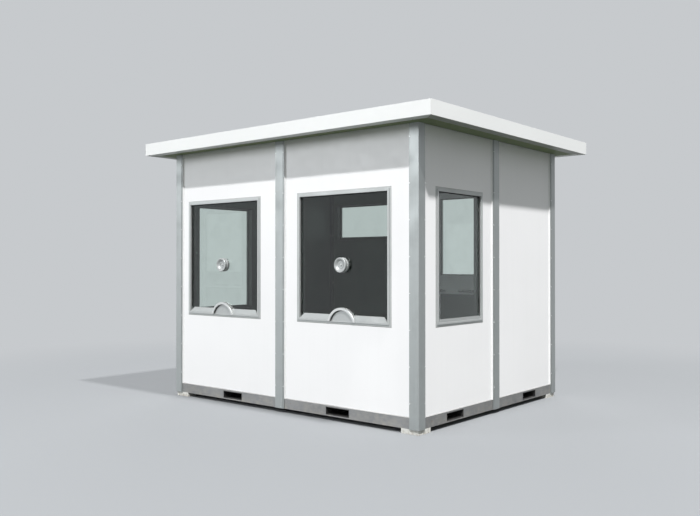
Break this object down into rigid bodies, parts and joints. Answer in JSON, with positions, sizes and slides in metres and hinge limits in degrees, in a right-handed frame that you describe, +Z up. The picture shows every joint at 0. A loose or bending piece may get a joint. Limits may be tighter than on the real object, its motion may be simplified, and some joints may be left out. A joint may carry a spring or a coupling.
{
  "type": "security guard booth",
  "caption": "Flat-roofed guard booth of white sandwich panels between aluminium posts, with glazed front and sides, voice ports, half-round pass-throughs and a half-glass back door.",
  "frame": {"origin": "middle of the booth at the underside of its levelling pads", "axes": "+Z up, the front wall with the two pass-through windows faces -Y, +X to the right seen from the front"},
  "size_m": [3.548, 2.838, 2.595],
  "materials": {
    "base_steel": "satin grey paint",
    "floor_finish": "matte vinyl",
    "pad": "weathered pale paint",
    "post": "clear anodised, satin",
    "panel_skin": "smooth white coating",
    "window_frame": "clear anodised, satin",
    "glass": "grey-green tinted, polished",
    "gasket": "matte",
    "polished_trim": "brushed stainless steel",
    "cover_plate": "satin",
    "door_skin": "smooth white coating",
    "hardware": "satin stainless steel",
    "roof_skin": "white coated sheet",
    "fascia": "satin white paint",
    "soffit": "satin pale grey paint"
  },
  "bodies": {
    "root": {"base_rail_front": "base_steel", "base_rail_back": "base_steel", "base_rail_left": "base_steel", "base_rail_right": "base_steel", "fork_sleeves": "base_steel", "floor_trimmers": "base_steel", "floor_joists": "base_steel", "floor_deck": "floor_finish", "levelling_pads": "pad", "corner_post_front_left": "post", "corner_post_front_right": "post", "corner_post_back_left": "post", "corner_post_back_right": "post", "inner_corner_trims": "post", "mid_post_front": "post", "mid_post_back": "post", "mid_post_left": "post", "mid_post_right": "post", "wall_panel_front_left": "panel_skin", "wall_panel_front_right": "panel_skin", "wall_panel_left_front": "panel_skin", "wall_panel_left_back": "panel_skin", "wall_panel_right_front": "panel_skin", "wall_panel_right_back": "panel_skin", "wall_panel_back_left": "panel_skin", "wall_panel_back_right": "panel_skin", "window_frame_front_left": "window_frame", "window_frame_front_right": "window_frame", "window_frame_left": "window_frame", "window_frame_right": "window_frame", "window_frame_back": "window_frame", "window_glass_front_left": "glass", "window_glass_front_right": "glass", "window_glass_left": "glass", "window_glass_right": "glass", "window_glass_back": "glass", "glazing_gaskets": "gasket", "sloped_sills": "window_frame", "pass_through_trims": "polished_trim", "pass_through_covers": "cover_plate", "voice_ports": "polished_trim", "door_frame": "window_frame", "door_leaf": "door_skin", "door_infill": "panel_skin", "door_glass": "glass", "door_lite_frame": "window_frame", "door_hinges": "hardware", "door_lever": "hardware", "door_pull_bar": "hardware", "door_threshold": "window_frame", "roof_panel": "roof_skin", "roof_membrane": "roof_skin", "roof_fascia": "fascia", "soffit": "soffit"}
  },
  "joints": []
}
